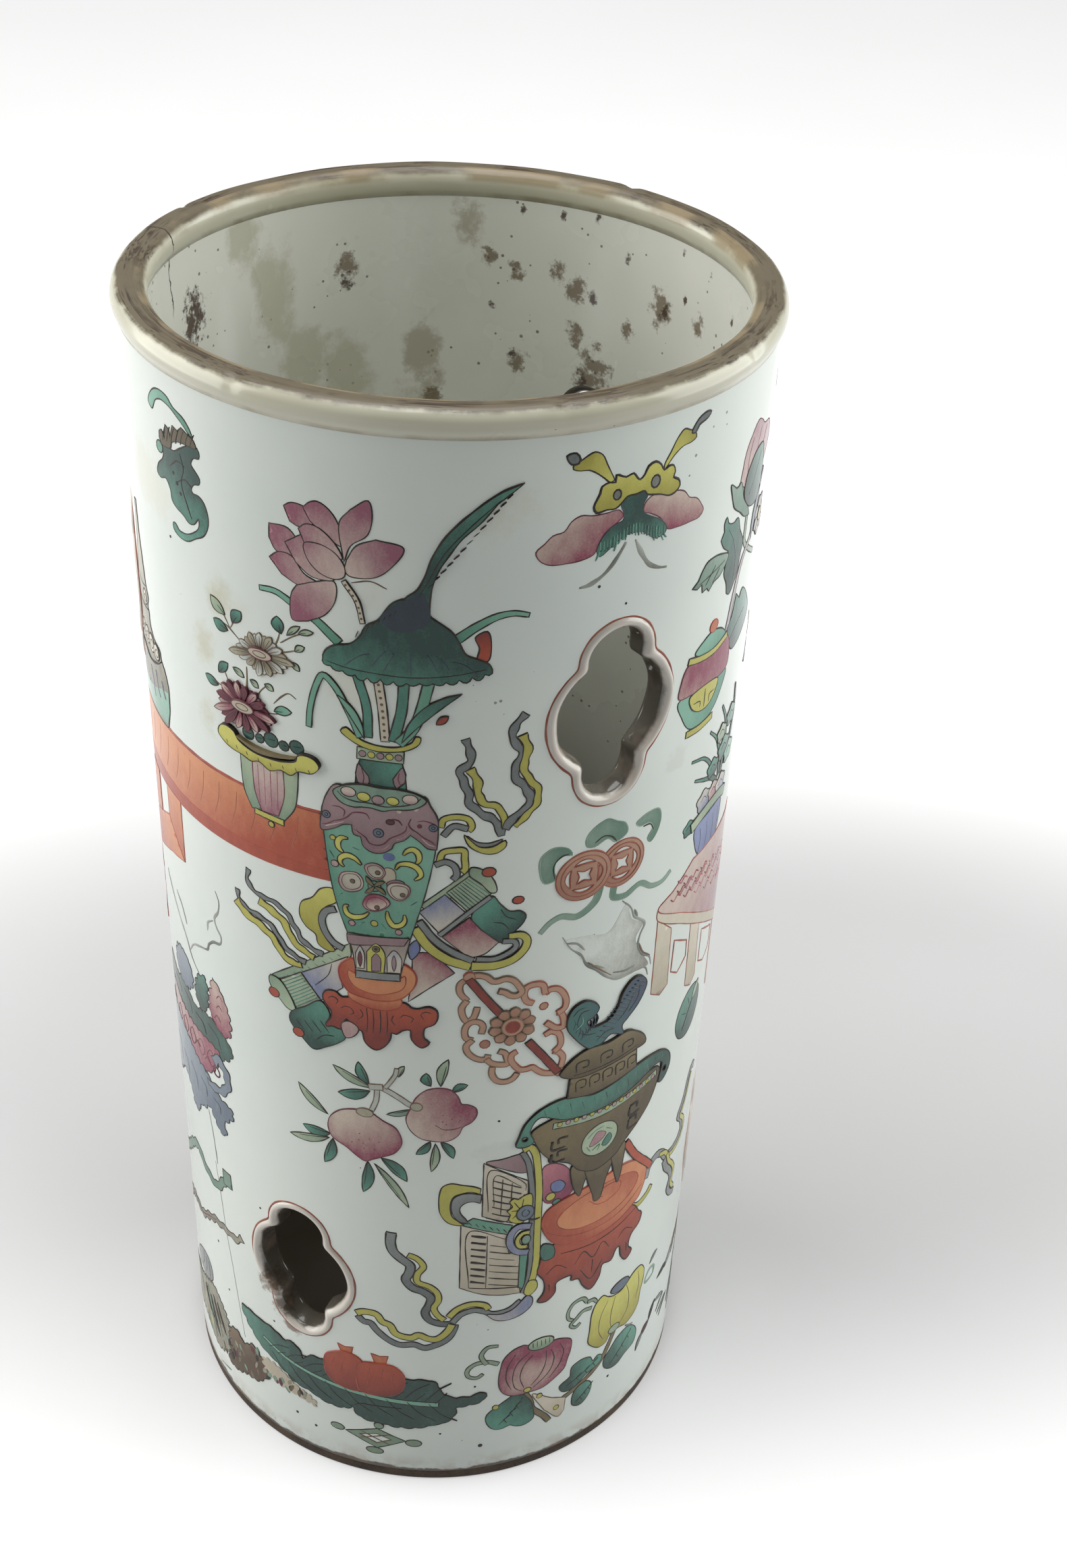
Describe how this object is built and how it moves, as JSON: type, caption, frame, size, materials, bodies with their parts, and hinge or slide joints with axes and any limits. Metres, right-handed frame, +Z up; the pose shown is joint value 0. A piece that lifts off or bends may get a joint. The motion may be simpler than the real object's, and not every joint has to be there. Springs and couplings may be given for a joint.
{
  "type": "hat stand",
  "caption": "Tall glazed porcelain cylinder that carries a hat on its rolled lip, pierced by quatrefoil windows with raised collars, on an unglazed foot ring.",
  "frame": {"origin": "centre of the foot, on the surface that it stands on", "axes": "+Z up along the pot's axis, towards the lip; -Y faces the side between the upper right and the lower left window"},
  "size_m": [0.1306, 0.1306, 0.283],
  "materials": {
    "glaze": "glossy white porcelain glaze with a faint blue-green tint and overglaze enamels",
    "worn_lip": "glazed lip, rubbed and stained brown on its crest",
    "collar_glaze": "glossy cream-white glaze, stained in the jamb, with an iron-red outline",
    "biscuit": "unglazed, dirt-stained porcelain biscuit"
  },
  "bodies": {
    "root": {"wall": "glaze", "lip_ring": "worn_lip", "foot_ring": "biscuit", "base_disc": "biscuit", "window_collar_upper_right": "collar_glaze", "window_collar_upper_back": "collar_glaze", "window_collar_upper_left": "collar_glaze", "window_collar_lower_left": "collar_glaze", "window_collar_lower_right": "collar_glaze", "window_collar_lower_back": "collar_glaze"}
  },
  "joints": []
}
